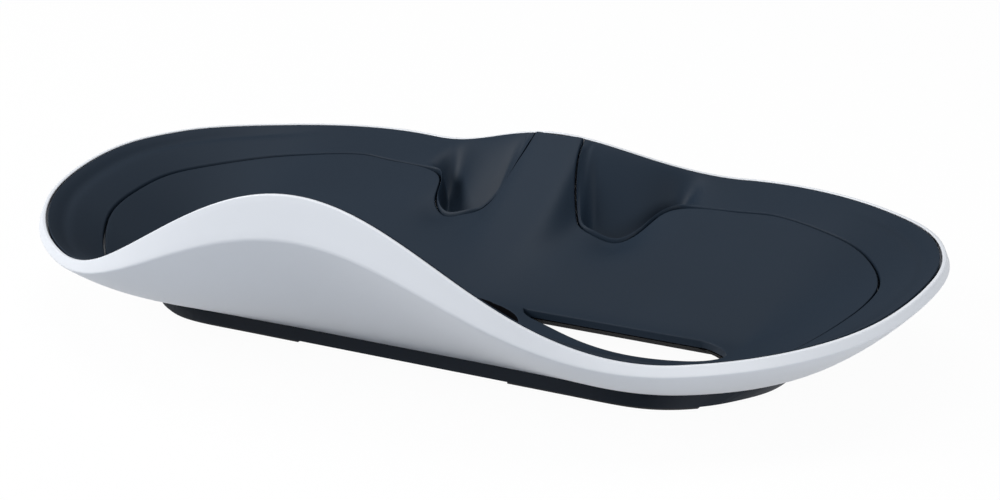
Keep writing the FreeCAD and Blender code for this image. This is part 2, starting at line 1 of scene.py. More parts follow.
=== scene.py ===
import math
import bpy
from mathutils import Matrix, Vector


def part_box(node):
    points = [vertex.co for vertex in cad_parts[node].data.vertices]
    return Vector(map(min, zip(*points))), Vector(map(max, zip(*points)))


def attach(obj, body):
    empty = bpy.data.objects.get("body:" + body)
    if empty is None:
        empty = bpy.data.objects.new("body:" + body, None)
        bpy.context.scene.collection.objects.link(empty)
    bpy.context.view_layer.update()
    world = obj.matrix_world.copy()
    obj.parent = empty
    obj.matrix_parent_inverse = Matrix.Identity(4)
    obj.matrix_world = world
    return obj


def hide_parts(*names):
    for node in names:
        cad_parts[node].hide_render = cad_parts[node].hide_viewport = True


bl_info = {
    "name": "Charging station",
    "version": (1, 0, 0),
    "blender": (4, 5, 0),
    "location": "View3D > Sidebar > Station",
    "description": "Dresses the two-bay charging station: pale shell, dark tray, base, feet and inner parts",
    "category": "Object",
}

import bmesh
import bpy
from bpy.props import FloatProperty, FloatVectorProperty, PointerProperty
from mathutils import Vector, geometry, kdtree

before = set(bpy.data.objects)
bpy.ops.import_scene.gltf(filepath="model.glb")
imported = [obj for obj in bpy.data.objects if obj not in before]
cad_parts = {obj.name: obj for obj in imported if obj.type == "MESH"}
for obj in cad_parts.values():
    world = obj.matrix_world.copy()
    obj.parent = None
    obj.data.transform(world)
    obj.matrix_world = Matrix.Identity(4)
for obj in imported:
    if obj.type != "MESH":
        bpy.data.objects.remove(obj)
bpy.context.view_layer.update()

MM = 0.001

# Sizes of the moulded skins, in millimetres, as the solids have them

rim_half_length, rim_back_reach, rim_front_reach = 138.0, 84.6, 82.4
rim_shape = [
    (0.0, 0.79), (0.174, 0.85), (0.37, 0.98), (0.55, 1.0), (0.725, 0.905), (0.877, 0.708),
    (0.978, 0.404), (1.0, 0.15), (0.979, -0.12), (0.92, -0.352), (0.797, -0.601),
    (0.638, -0.794), (0.449, -0.94), (0.254, -0.995), (0.0, -1.0)]
rim_front_height, rim_end_height, rim_back_height = 26.2, 33.3, 32.0
hump_height, hump_half_width = 36.2, 97.0
neck_rise, neck_half_spread = 11.5, 56.0

shell_wall, shell_lip = 2.4, 1.1
crease_out, crease_drop, hump_crease_drop = 2.2, 2.7, 12.2
hull_bulge, shell_bottom = 2.0, 4.9
hull_half_length, hull_back_reach, hull_front_reach = 107.5, 58.0, 33.1
hull_shape = [
    (0.0, 1.0), (0.22, 1.01), (0.44, 1.02), (0.65, 1.0), (0.82, 0.88), (0.93, 0.67),
    (0.986, 0.36), (1.0, 0.11), (0.98, -0.16), (0.94, -0.39), (0.87, -0.63),
    (0.744, -0.89), (0.56, -1.0), (0.32, -1.0), (0.0, -1.0)]

dish_floor, dish_half_length = 8.7, 88.0
dish_back_edge, dish_front_edge = 2.5, -17.0
dish_end_slope, dish_back_slope, dish_front_slope = 0.5, 0.31, 0.385
dish_round = 1.2
hump_inner_rise, neck_ridge, neck_ridge_half_width = 26.0, 15.55, 13.0
pocket_sink, panel, seam_gap, rim_gap = 2.8, 2.2, 0.65, 0.65

back_border, end_border, border_turn, border_turn_run = 17.9, 16.5, 70.0, 30.0
neck_half_width, neck_bow = 8.8, 1.8
pocket_lip = [
    (8.8, 16.7, 47.3), (13.0, 21.0, 45.4), (18.0, 27.5, 45.5), (24.0, 33.0, 47.6),
    (30.0, 36.6, 52.8), (34.0, 38.2, 57.8), (38.5, 41.2, 62.9), (45.0, 46.5, 65.1)]
pocket_depth, pocket_lip_width, pocket_wall_run = 10.5, 1.2, 4.2
pocket_end, pocket_end_run = 36.0, 10.0
pocket_profile = [
    (0.0, 0.0), (0.1, 0.06), (0.24, 0.28), (0.42, 0.64), (0.6, 0.92), (0.74, 1.0),
    (0.84, 0.9), (0.9, 0.55), (0.95, 0.08), (1.0, 0.0)]
edge_band_drop = 0.6

hole_inner_end, hole_outer_end, hole_back, hole_front = 19.0, 87.5, 2.9, -16.9
hole_shape = [
    (0.83, 0.0), (0.945, 0.13), (1.0, 0.37), (0.955, 0.68), (0.86, 0.87), (0.66, 1.0),
    (0.40, 0.8), (0.17, 0.4), (0.05, 0.12), (0.03, 0.0)]
oval_half_length, oval_back_depth, oval_front_depth, oval_middle = 26.0, 18.0, 10.5, -13.4

boss_places = [(36.0, 34.0), (97.0, 12.0), (30.0, -22.0)]
boss_radius, pilot_radius, boss_foot = 3.0, 1.0, 3.3

part_gap, crease_under, edge_radius = 0.15, 1.2, 0.4
inlet_level, inlet_width, inlet_tallness = 12.0, 15.3, 7.3
neck_flat = 66.0

# Reach to the side, front and back of the painted shade (near-black faces standing in for shadow) inside the
# bays' holes and the oval well
bay_painted_shade_reach = (90.5, -19.2, 15.5)
well_painted_shade_reach = (28.2, -26.0, 7.0)
base_underside = 0.85

# How finely the skins are laid
half_stations, stations_between, rows_across = 34, 6, 52
shell_columns, side_steps = 420, 14
outline_step, straight_step, oval_points, neck_end_steps = 0.9, 1.2, 110, 18
net_step = 1.7
smooth_angle = math.radians(50)


# Sizes and colours a user would change

class StationFinish(bpy.types.PropertyGroup):
    shell_colour: FloatVectorProperty(
        name="Shell", description="Colour of the pale outer moulding",
        subtype="COLOR", size=3, min=0, max=1, default=(0.80, 0.825, 0.87))
    tray_colour: FloatVectorProperty(
        name="Tray", description="Colour of the dished tray and its surround",
        subtype="COLOR", size=3, min=0, max=1, default=(0.011, 0.021, 0.036))
    base_colour: FloatVectorProperty(
        name="Base", description="Colour of the base under the shell",
        subtype="COLOR", size=3, min=0, max=1, default=(0.005, 0.009, 0.016))
    foot_colour: FloatVectorProperty(
        name="Feet", description="Colour of the rubber feet",
        subtype="COLOR", size=3, min=0, max=1, default=(0.014, 0.015, 0.018))


class StationEdges(bpy.types.PropertyGroup):
    moulded_edge: FloatProperty(
        name="Moulded edge", description="Rounding of the small moulded edges",
        subtype="DISTANCE", unit="LENGTH", min=0, default=0.25 * MM)
    metal_edge: FloatProperty(
        name="Metal edge", description="Rounding of the screws, plates and socket",
        subtype="DISTANCE", unit="LENGTH", min=0, default=0.12 * MM)


# Materials

def node_tree(name):
    material = bpy.data.materials.new(name)
    material.use_nodes = True
    return material, material.node_tree


def moulded(name, colour, roughness, grain=0.25, grain_size=0.35 * MM, spread=0.08, shine=0.5):
    """Moulded plastic: fine grain in the bump, slow change in colour and gloss."""
    material, tree = node_tree(name)
    shader = tree.nodes["Principled BSDF"]
    links = tree.links
    place = tree.nodes.new("ShaderNodeTexCoord")
    slow = tree.nodes.new("ShaderNodeTexNoise")
    slow.inputs["Scale"].default_value = 14.0
    slow.inputs["Detail"].default_value = 3.0
    fine = tree.nodes.new("ShaderNodeTexNoise")
    fine.inputs["Scale"].default_value = 1.0 / grain_size
    fine.inputs["Detail"].default_value = 2.0
    links.new(place.outputs["Object"], slow.inputs["Vector"])
    links.new(place.outputs["Object"], fine.inputs["Vector"])
    tone = tree.nodes.new("ShaderNodeValToRGB")
    tone.color_ramp.elements[0].position = 0.3
    tone.color_ramp.elements[1].position = 0.7
    tone.color_ramp.elements[0].color = [c * (1 - spread) for c in colour] + [1]
    tone.color_ramp.elements[1].color = [min(1, c * (1 + spread)) for c in colour] + [1]
    links.new(slow.outputs["Fac"], tone.inputs["Fac"])
    links.new(tone.outputs["Color"], shader.inputs["Base Color"])
    gloss = tree.nodes.new("ShaderNodeMapRange")
    gloss.inputs["To Min"].default_value = roughness - 0.04
    gloss.inputs["To Max"].default_value = roughness + 0.06
    links.new(fine.outputs["Fac"], gloss.inputs["Value"])
    links.new(gloss.outputs["Result"], shader.inputs["Roughness"])
    bump = tree.nodes.new("ShaderNodeBump")
    bump.inputs["Strength"].default_value = grain
    bump.inputs["Distance"].default_value = 0.02 * MM
    links.new(fine.outputs["Fac"], bump.inputs["Height"])
    links.new(bump.outputs["Normal"], shader.inputs["Normal"])
    shader.inputs["Specular IOR Level"].default_value = shine
    return material


def metal(name, colour, roughness, brush=(1.0, 30.0, 1.0)):
    """Plain metal with fine brushed lines along one direction."""
    material, tree = node_tree(name)
    shader = tree.nodes["Principled BSDF"]
    links = tree.links
    shader.inputs["Metallic"].default_value = 1.0
    place = tree.nodes.new("ShaderNodeTexCoord")
    stretch = tree.nodes.new("ShaderNodeMapping")
    stretch.inputs["Scale"].default_value = brush
    lines = tree.nodes.new("ShaderNodeTexNoise")
    lines.inputs["Scale"].default_value = 120.0
    lines.inputs["Detail"].default_value = 4.0
    links.new(place.outputs["Object"], stretch.inputs["Vector"])
    links.new(stretch.outputs["Vector"], lines.inputs["Vector"])
    tone = tree.nodes.new("ShaderNodeValToRGB")
    tone.color_ramp.elements[0].color = [c * 0.82 for c in colour] + [1]
    tone.color_ramp.elements[1].color = [min(1, c * 1.08) for c in colour] + [1]
    links.new(lines.outputs["Fac"], tone.inputs["Fac"])
    links.new(tone.outputs["Color"], shader.inputs["Base Color"])
    gloss = tree.nodes.new("ShaderNodeMapRange")
    gloss.inputs["To Min"].default_value = roughness - 0.08
    gloss.inputs["To Max"].default_value = roughness + 0.1
    links.new(lines.outputs["Fac"], gloss.inputs["Value"])
    links.new(gloss.outputs["Result"], shader.inputs["Roughness"])
    bump = tree.nodes.new("ShaderNodeBump")
    bump.inputs["Strength"].default_value = 0.2
    bump.inputs["Distance"].default_value = 0.01 * MM
    links.new(lines.outputs["Fac"], bump.inputs["Height"])
    links.new(bump.outputs["Normal"], shader.inputs["Normal"])
    return material


def board_lacquer(name):
    """Green lacquer with faint copper tracks under it."""
    material, tree = node_tree(name)
    shader = tree.nodes["Principled BSDF"]
    links = tree.links
    place = tree.nodes.new("ShaderNodeTexCoord")
    tracks = tree.nodes.new("ShaderNodeTexBrick")
    tracks.inputs["Scale"].default_value = 220.0
    tracks.inputs["Mortar Size"].default_value = 0.06
    tracks.inputs["Color1"].default_value = (0.006, 0.050, 0.022, 1)
    tracks.inputs["Color2"].default_value = (0.008, 0.060, 0.026, 1)
    tracks.inputs["Mortar"].default_value = (0.020, 0.120, 0.050, 1)
    links.new(place.outputs["Object"], tracks.inputs["Vector"])
    links.new(tracks.outputs["Color"], shader.inputs["Base Color"])
    bump = tree.nodes.new("ShaderNodeBump")
    bump.inputs["Strength"].default_value = 0.3
    bump.inputs["Distance"].default_value = 0.03 * MM
    links.new(tracks.outputs["Fac"], bump.inputs["Height"])
    links.new(bump.outputs["Normal"], shader.inputs["Normal"])
    shader.inputs["Roughness"].default_value = 0.32
    return material


# Shared steps

def deselect():
    if bpy.context.object and bpy.context.object.mode != "OBJECT":
        bpy.ops.object.mode_set(mode="OBJECT")
    bpy.ops.object.select_all(action="DESELECT")


def make_active(piece):
    deselect()
    piece.select_set(True)
    bpy.context.view_layer.objects.active = piece


def finish_piece(piece, nodes, material):
    piece.data.materials.clear()
    piece.data.materials.append(material)
    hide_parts(*nodes)
    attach(piece, "root")


def copy_of(node, name):
    """A merged copy of a solid, with its own mesh."""
    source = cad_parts[node]
    piece = bpy.data.objects.new(name, source.data.copy())
    bpy.context.scene.collection.objects.link(piece)
    make_active(piece)
    bpy.ops.object.mode_set(mode="EDIT")
    bpy.ops.mesh.select_all(action="SELECT")
    bpy.ops.mesh.remove_doubles(threshold=0.004 * MM)
    bpy.ops.object.mode_set(mode="OBJECT")
    return piece


def round_edges(piece, width, angle=35.0, segments=2):
    make_active(piece)
    bpy.ops.object.mode_set(mode="EDIT")
    bpy.ops.mesh.select_all(action="SELECT")
    bpy.ops.mesh.dissolve_limited(angle_limit=math.radians(1.0))
    bpy.ops.object.mode_set(mode="OBJECT")
    if width:
        bevel = piece.modifiers.new("edges", "BEVEL")
        bevel.width = width
        bevel.segments = segments
        bevel.limit_method = "ANGLE"
        bevel.angle_limit = math.radians(angle)
        bevel.use_clamp_overlap = True
        bpy.ops.object.modifier_apply(modifier=bevel.name)
    bpy.ops.object.shade_smooth_by_angle(angle=math.radians(angle))


def dressed(node, name, material, width, angle=35.0):
    piece = copy_of(node, name)
    round_edges(piece, width, angle)
    finish_piece(piece, [node], material)
    return piece


# Curves the skins follow

def smooth(value):
    value = min(1.0, max(0.0, value))
    return value * value * (3.0 - 2.0 * value)


def swell(distance, half_width):
    return 0.5 * (1.0 + math.cos(math.pi * min(1.0, abs(distance) / half_width)))


def between(start, end, share):
    return start + (end - start) * share


class Curve:
    """Cubic curve with smooth bends through points at given places."""

    def __init__(self, places, points, closed):
        self.places, self.closed = places, closed
        self.points = [Vector(point) for point in points]
        if closed:
            self.points.append(self.points[0].copy())
        self.slopes = self.knot_slopes()

    def end_slope(self, order):
        t = [self.places[i] for i in order]
        slope = self.points[order[0]] * sum(1.0 / (t[0] - other) for other in t[1:])
        for j in (1, 2, 3):
            others = [t[k] for k in (1, 2, 3) if k != j]
            top = (t[0] - others[0]) * (t[0] - others[1])
            low = (t[j] - t[0]) * (t[j] - others[0]) * (t[j] - others[1])
            slope += self.points[order[j]] * (top / low)
        return slope

    def knot_slopes(self):
        t, p = self.places, self.points
        last = len(p) - 1
        slopes = [Vector((0, 0, 0)) for _ in p]
        if not self.closed:
            slopes[0] = self.end_slope((0, 1, 2, 3))
            slopes[last] = self.end_slope((last, last - 1, last - 2, last - 3))
        inner = range(0, last) if self.closed else range(1, last)
        for _ in range(60):
            for i in inner:
                before = i - 1 if i else last - 1
                a = t[before + 1] - t[before]
                b = t[i + 1] - t[i]
                pull = (p[i] - p[before]) / a ** 2 + (p[i + 1] - p[i]) / b ** 2
                rest = slopes[before] / a + slopes[i + 1] / b
                slopes[i] = (3 * pull - rest) / (2 / a + 2 / b)
                if self.closed and i == 0:
                    slopes[last] = slopes[0].copy()
        return slopes

    def span(self, place):
        if self.closed:
            place = place % 1.0
        low, high = 0, len(self.places) - 1
        while high - low > 1:
            middle = (low + high) // 2
            if self.places[middle] <= place:
                low = middle
            else:
                high = middle
        width = self.places[low + 1] - self.places[low]
        return low, width, (place - self.places[low]) / width

    def value(self, place):
        i, h, s = self.span(place)
        p, m = self.points, self.slopes
        return (p[i] * (2 * s ** 3 - 3 * s ** 2 + 1) + m[i] * (h * (s ** 3 - 2 * s ** 2 + s))
                + p[i + 1] * (3 * s ** 2 - 2 * s ** 3) + m[i + 1] * (h * (s ** 3 - s ** 2)))

    def tangent(self, place):
        i, h, s = self.span(place)
        p, m = self.points, self.slopes
        along = ((p[i + 1] - p[i]) * (6 * s - 6 * s ** 2) / h + m[i] * (3 * s ** 2 - 4 * s + 1)
                 + m[i + 1] * (3 * s ** 2 - 2 * s))
        return along.normalized()


def closed_keys(shape, half_length, back, front):
    half = [(x * half_length, y * (back if y > 0 else front), 0.0) for x, y in shape]
    return half + [(-x, y, 0.0) for x, y, _ in half[-2:0:-1]]


def key_places(points):
    places = [0.0]
    for here, there in zip(points, points[1:] + points[:1]):
        places.append(places[-1] + math.sqrt(math.dist(here, there)))
    return [place / places[-1] for place in places]


rim_keys = closed_keys(rim_shape, rim_half_length, rim_back_reach, rim_front_reach)
rim_places = key_places(rim_keys)
rim_plan = Curve(rim_places, rim_keys, True)
hull_plan = Curve(
    rim_places, closed_keys(hull_shape, hull_half_length, hull_back_reach, hull_front_reach), True)


def plan_point(plan, place, out=0.0):
    along = plan.tangent(place)
    return plan.value(place) + Vector((-along.y, along.x, 0)) * out


def rim_place(x):
    low, high = 0.0, rim_places[4]
    for _ in range(40):
        middle = (low + high) / 2
        if rim_plan.value(middle).x < x:
            low = middle
        else:
            high = middle
    return low


def hump_share(x, y):
    return swell(x, hump_half_width) * smooth((-y - 40.0) / 25.0)


def rim_height(point):
    level = between(rim_front_height, rim_end_height, smooth((point.y + 62.0) / 95.0))
    level += (rim_back_height - rim_end_height) * smooth((point.y - 45.0) / 30.0)
    neck = neck_rise * swell(point.x, neck_half_spread) * smooth((point.y - 20.0) / 30.0)
    return level + hump_height * hump_share(point.x, point.y) + neck


def dish_height(x, y):
    past_end = max(0.0, abs(x) - dish_half_length)
    past_back = max(0.0, y - dish_back_edge)
    past_front = max(0.0, dish_front_edge - y)
    rise = math.hypot(past_end * dish_end_slope,
                      past_back * dish_back_slope + past_front * dish_front_slope)
    level = dish_floor + math.hypot(rise, dish_round) - dish_round
    front_share = past_front / (rim_front_reach + dish_front_edge)
    level += hump_inner_rise * swell(x, hump_half_width) * front_share ** 2
    neck_share = max(0.0, min(y, neck_flat) + 1.4) / 66.0
    steepness = 3.0 + 5.0 * smooth((y - 20.0) / 30.0)
    level += neck_ridge * neck_share ** 2 / (1.0 + (abs(x) / neck_ridge_half_width) ** steepness)
    sink = math.exp(-((abs(x) - 30.0) / 7.0) ** 2 - ((y - 46.2) / 9.0) ** 2)
    return level - pocket_sink * sink


def border(x):
    return between(back_border, end_border, smooth((abs(x) - border_turn) / border_turn_run))


def inner_seam():
    last_x = pocket_lip[-1][0]
    keys = [(rim_place(rim_x), Vector((x, y, 0))) for rim_x, x, y in pocket_lip]
    for place in rim_places[1:len(rim_shape)]:
        rim = rim_plan.value(place)
        if rim.x > last_x + 5.0 or place > 0.3:
            keys.append((place, plan_point(rim_plan, place, -border(rim.x))))
    keys += [(1.0 - place, Vector((-point.x, point.y, 0))) for place, point in keys[-2::-1]]
    return Curve([place for place, _ in keys], [point for _, point in keys], False)


seam_plan = inner_seam()
pocket_curve = Curve([s for s, _ in pocket_profile], [(v, 0, 0) for _, v in pocket_profile], False)


def surround_places():
    near = [neck_half_width + step for step in (0.0, 0.7, 1.5, 2.5, 3.8, 5.6, 8.0)]
    half = [rim_place(x) for x in near]
    start = half[-1]
    half += [between(start, 0.5, index / half_stations) for index in range(1, half_stations)]
    return half + [0.5] + [1.0 - place for place in half[::-1]]


def surround_point(place, share):
    rim = plan_point(rim_plan, place, -rim_gap)
    inner = seam_plan.value(place)
    point = rim + (inner - rim) * share
    near_back = place < rim_places[4] or place > 1.0 - rim_places[4]
    side = 1.0 if point.x >= 0 else -1.0
    rim_x = abs(rim_plan.value(place).x) if near_back else rim_half_length
    bow = neck_bow * 4.0 * share * (1.0 - share)
    point.x -= side * bow * (1.0 - smooth((rim_x - neck_half_width) / 8.0))
    top = rim_height(rim_plan.value(place))
    low = dish_height(inner.x, inner.y)
    on_seam = dish_height(point.x, point.y)
    from_neck = smooth((rim_x - neck_half_width) / 3.0)
    near_rim = 1.0 - smooth(share / 0.2)
    level = between(on_seam, between(top, low, share), max(from_neck, near_rim))
    start = neck_half_width + pocket_lip_width
    depth = smooth((rim_x - start) / pocket_wall_run)
    depth *= 1.0 - smooth((rim_x - pocket_end) / pocket_end_run)
    level -= pocket_depth * depth * pocket_curve.value(share).x
    band = math.exp(-((share - 0.27) / 0.12) ** 2)
    level -= edge_band_drop * band * smooth((abs(point.x) - 90.0) / 25.0)
    return Vector((point.x, point.y, level))


def rounded_drops(radius):
    """Distances in from an edge, each with how far the round edge drops there."""
    turns = [math.radians(angle) for angle in (0, 22, 45, 68, 90)]
    return [(radius * (1 - math.cos(turn)), radius * (1 - math.sin(turn))) for turn in turns]


def rounded_corner(before, corner, after, radius):
    """Five points of a soft bend that takes the place of a sharp corner."""
    back = before - corner
    ahead = after - corner
    start = corner + back.normalized() * min(radius, back.length * 0.45)
    end = corner + ahead.normalized() * min(radius, ahead.length * 0.45)
    shares = (0.0, 0.25, 0.5, 0.75, 1.0)
    return [start * (1 - s) ** 2 + corner * (2 * s * (1 - s)) + end * s ** 2 for s in shares]


def shell_section(place):
    """Closed cross-section of the shell at one place round the rim."""
    rim = rim_plan.value(place)
    level = rim_height(rim)
    hump = hump_share(rim.x, rim.y)
    inner_rim = Vector((rim.x, rim.y, level))
    lip = plan_point(rim_plan, place, shell_lip)
    lip.z = level
    crease = plan_point(rim_plan, place, crease_out)
    crease.z = level - between(crease_drop, hump_crease_drop, hump)
    foot = hull_plan.value(place)
    foot.z = shell_bottom
    side = foot - crease
    normal = Vector((-side.x * side.z, -side.y * side.z, side.x ** 2 + side.y ** 2)).normalized()
    if normal.z > 0:
        normal = -normal

    def on_side(share, inset):
        bulge = hull_bulge * 4 * share * (1 - share)
        return crease + side * share + normal * (bulge - inset)

    outside = [on_side(step / side_steps, 0.0) for step in range(1, side_steps)]
    inner_foot = plan_point(hull_plan, place, -shell_wall * 1.3)
    inner_foot.z = shell_bottom
    inside = [on_side(share, shell_wall) for share in (0.9, 0.7, 0.5, 0.35, 0.2)]
    under = plan_point(rim_plan, place, crease_out - shell_wall)
    under.z = level - between(crease_drop, hump_crease_drop, hump) - crease_under
    facet = [lip + (crease - lip) * share for share in (0.25, 0.5, 0.75)]
    points = rounded_corner(under, inner_rim, lip, 0.3)
    points += rounded_corner(inner_rim, lip, facet[0], 0.35)
    points += facet
    points += rounded_corner(facet[-1], crease, outside[0], 0.9)
    points += outside
    points += rounded_corner(outside[-1], foot, inner_foot, 0.5)
    points += [inner_foot] + inside + [under]
    return points


def hole_line(side):
    """Dense outline of a bay's through hole, round corners at the straight back edge."""
    keys = []
    for x, y in hole_shape:
        across = side * between(hole_inner_end, hole_outer_end, x)
        keys.append((across, between(hole_back, hole_front, y), 0))
    lengths = [0.0]
    for here, there in zip(keys, keys[1:]):
        lengths.append(lengths[-1] + math.dist(here, there))
    bow = Curve(lengths, keys, False)
    count = int(lengths[-1] / outline_step)
    line = [bow.value(lengths[-1] * index / count) for index in range(count + 1)]
    run = line[0] - line[-1]
    steps = int(run.length / straight_step)
    return line + [line[-1] + run * (index / steps) for index in range(1, steps)]


def oval_line():
    line = []
    for index in range(oval_points):
        turn = 2 * math.pi * index / oval_points
        depth = oval_back_depth if math.sin(turn) > 0 else oval_front_depth
        y = oval_middle + depth * math.sin(turn)
        line.append(Vector((oval_half_length * math.cos(turn), y, 0)))
    return line


def tray_line():
    """Dense outline of the tray just inside the seam, its neck's end at the back included."""
    places = surround_places()
    trace = [surround_point(places[0], index / 10) for index in range(10)]
    trace += [surround_point(place, 1.0) for place in places]
    trace += [surround_point(places[-1], index / 10) for index in range(9, -1, -1)]
    for point in trace:
        point.z = 0
    moved = []
    for index, point in enumerate(trace):
        along = (trace[min(len(trace) - 1, index + 1)] - trace[max(0, index - 1)]).normalized()
        moved.append(point + Vector((along.y, -along.x, 0)) * seam_gap)
    lengths = [0.0]
    for here, there in zip(moved, moved[1:]):
        lengths.append(lengths[-1] + (there - here).length)
    side = Curve(lengths, moved, False)
    count = int(lengths[-1] / outline_step)
    line = [side.value(lengths[-1] * index / count) for index in range(count + 1)]
    start, end = line[0], line[-1]
    middle = plan_point(rim_plan, 0.0, -rim_gap)
    for index in range(1, neck_end_steps):
        share = index / neck_end_steps
        bulge = (middle.y - start.y) * 4 * share * (1 - share)
        line.append(end + (start - end) * share + Vector((0, bulge, 0)))
    return line


def moved_in(line, distance):
    """The closed line moved sideways; positive is to the left of its direction."""
    count = len(line)
    moved = []
    for index, point in enumerate(line):
        along = (line[(index + 1) % count] - line[index - 1]).normalized()
        moved.append(point + Vector((-along.y, along.x, 0)) * distance)
    return moved


def area_of(line):
    return 0.5 * sum(a.x * b.y - b.x * a.y for a, b in zip(line, line[1:] + line[:1]))


# Skins

def shell_skin(name):
    """Ring by ring: a circle is laid on the first line of the section and extruded to the next."""
    sections = [shell_section(index / shell_columns) for index in range(shell_columns)]
    deselect()
    bpy.ops.mesh.primitive_circle_add(vertices=shell_columns, radius=rim_half_length * MM)
    piece = bpy.context.object
    piece.name = name
    place_of = piece.data.attributes.new("place", "INT", "POINT")
    for index in range(shell_columns):
        place_of.data[index].value = index
        piece.data.vertices[index].co = sections[index][0] * MM
    bpy.ops.object.mode_set(mode="EDIT")
    bpy.ops.mesh.select_all(action="SELECT")
    for ring in range(1, len(sections[0])):
        bpy.ops.mesh.extrude_edges_indiv()
        mesh = bmesh.from_edit_mesh(piece.data)
        layer = mesh.verts.layers.int["place"]
        for vertex in mesh.verts:
            if vertex.select:
                vertex.co = sections[vertex[layer]][ring] * MM
    bmesh.update_edit_mesh(piece.data)
    bpy.ops.mesh.select_all(action="DESELECT")
    mesh = bmesh.from_edit_mesh(piece.data)
    for edge in mesh.edges:
        edge.select = len(edge.link_faces) == 1
    bmesh.update_edit_mesh(piece.data)
    bpy.ops.mesh.bridge_edge_loops()
    bpy.ops.mesh.select_all(action="SELECT")
    bpy.ops.mesh.normals_make_consistent(inside=False)
    bpy.ops.object.mode_set(mode="OBJECT")
    piece.data.attributes.remove(piece.data.attributes["place"])
    return piece


def thicken_down(piece, depth):
    make_active(piece)
    bpy.ops.object.mode_set(mode="EDIT")
    bpy.ops.mesh.select_all(action="SELECT")
    bpy.ops.mesh.extrude_region_move(TRANSFORM_OT_translate={"value": (0, 0, -depth)})
    bpy.ops.mesh.select_all(action="SELECT")
    bpy.ops.mesh.normals_make_consistent(inside=False)
    bpy.ops.object.mode_set(mode="OBJECT")


def surround_skin(name):
    """A grid laid from the rim to the seam all the way round, then thickened downwards."""
    places = []
    coarse = surround_places()
    for here, there in zip(coarse, coarse[1:]):
        places += [between(here, there, step / stations_between)
                   for step in range(stations_between)]
    places.append(coarse[-1])
    drops = rounded_drops(edge_radius)
    inner_rows = [0.02 + 0.96 * index / rows_across for index in range(rows_across + 1)]
    rows = len(drops) * 2 + len(inner_rows)
    deselect()
    bpy.ops.mesh.primitive_grid_add(
        x_subdivisions=len(places) - 1, y_subdivisions=rows - 1, size=rim_half_length * MM)
    piece = bpy.context.object
    piece.name = name
    vertices = piece.data.vertices
    for column, place in enumerate(places):
        width = (surround_point(place, 1.0) - surround_point(place, 0.0)).length
        line = [(distance / width, drop) for distance, drop in drops]
        line += [(share, 0.0) for share in inner_rows]
        line += [(1.0 - distance / width, drop) for distance, drop in drops[::-1]]
        line.sort()
        for row, (share, drop) in enumerate(line):
            point = surround_point(place, share)
            point.z -= drop
            vertices[row * len(places) + column].co = point * MM
    thicken_down(piece, (panel - edge_radius) * MM)
    return piece


def tray_skin(name):
    """Net of triangles over the dish between its edges, each edge rounded, thickened downwards."""
    lines = [tray_line(), hole_line(1), hole_line(-1), oval_line()]
    coords, levels, edges = [], [], []
    near = []
    for number, line in enumerate(lines):
        into = 1 if number == 0 else -1
        into *= 1 if area_of(line) > 0 else -1
        for distance, drop in rounded_drops(edge_radius) + [(edge_radius * 2.4, 0.0)]:
            start = len(coords)
            for point in moved_in(line, distance * into):
                coords.append(Vector((point.x, point.y)))
                levels.append(drop)
            count = len(coords) - start
            edges += [(start + index, start + (index + 1) % count) for index in range(count)]
        near += list(zip(line, moved_in(line, into)))
    tree = kdtree.KDTree(len(near))
    for index, (point, _) in enumerate(near):
        tree.insert(Vector((point.x, point.y, 0)), index)
    tree.balance()

    def depth_in(x, y):
        """Distance from the nearest edge, negative outside the tray."""
        _, index, distance = tree.find(Vector((x, y, 0)))
        edge, inner = near[index]
        ahead = (x - edge.x) * (inner.x - edge.x) + (y - edge.y) * (inner.y - edge.y)
        return distance if ahead > 0 else -distance

    for j in range(-50, 60):
        for i in range(-80, 81):
            x, y = (i + 0.5 * (j % 2)) * net_step, j * net_step * 0.866
            if depth_in(x, y) > net_step:
                coords.append(Vector((x, y)))
                levels.append(0.0)
    net = geometry.delaunay_2d_cdt(coords, edges, [], 1, 1e-5, True)
    points, faces, origins = net[0], net[2], net[3]
    keep = []
    for face in faces:
        x = sum(points[v].x for v in face) / 3
        y = sum(points[v].y for v in face) / 3
        if depth_in(x, y) > 0:
            keep.append(face)
    data = bpy.data.meshes.new(name)
    positions = []
    for index, point in enumerate(points):
        drop = levels[origins[index][0]] if origins[index] else 0.0
        level = dish_height(point.x, point.y) - drop
        positions.append(Vector((point.x, point.y, level)) * MM)
    data.from_pydata(positions, [], keep)
    piece = bpy.data.objects.new(name, data)
    bpy.context.scene.collection.objects.link(piece)
    make_active(piece)
    bpy.ops.object.mode_set(mode="EDIT")
    bpy.ops.mesh.delete_loose()
    bpy.ops.object.mode_set(mode="OBJECT")
    thicken_down(piece, (panel - edge_radius) * MM)
    return piece


def tray_boss(x, y):
    """Tube under the tray that takes a screw."""
    high = dish_height(x, y) - panel * 0.6
    deselect()
    bpy.ops.mesh.primitive_cylinder_add(
        vertices=40, radius=boss_radius * MM, depth=(high - boss_foot) * MM,
        location=(x * MM, y * MM, (high + boss_foot) / 2 * MM))
    boss = bpy.context.object
    bpy.ops.object.transform_apply(location=True, rotation=True, scale=True)
    bpy.ops.object.mode_set(mode="EDIT")
    bpy.ops.mesh.select_all(action="DESELECT")
    mesh = bmesh.from_edit_mesh(boss.data)
    for face in mesh.faces:
        face.select = face.normal.z < -0.9
    bmesh.update_edit_mesh(boss.data)
    bpy.ops.mesh.inset(thickness=(boss_radius - pilot_radius) * MM)
    bpy.ops.mesh.extrude_region_move(
        TRANSFORM_OT_translate={"value": (0, 0, (high - boss_foot - 1.0) * MM)})
    bpy.ops.object.mode_set(mode="OBJECT")
    return boss


def joined(piece, others):
    make_active(piece)
    for other in others:
        other.select_set(True)
    bpy.ops.object.join()


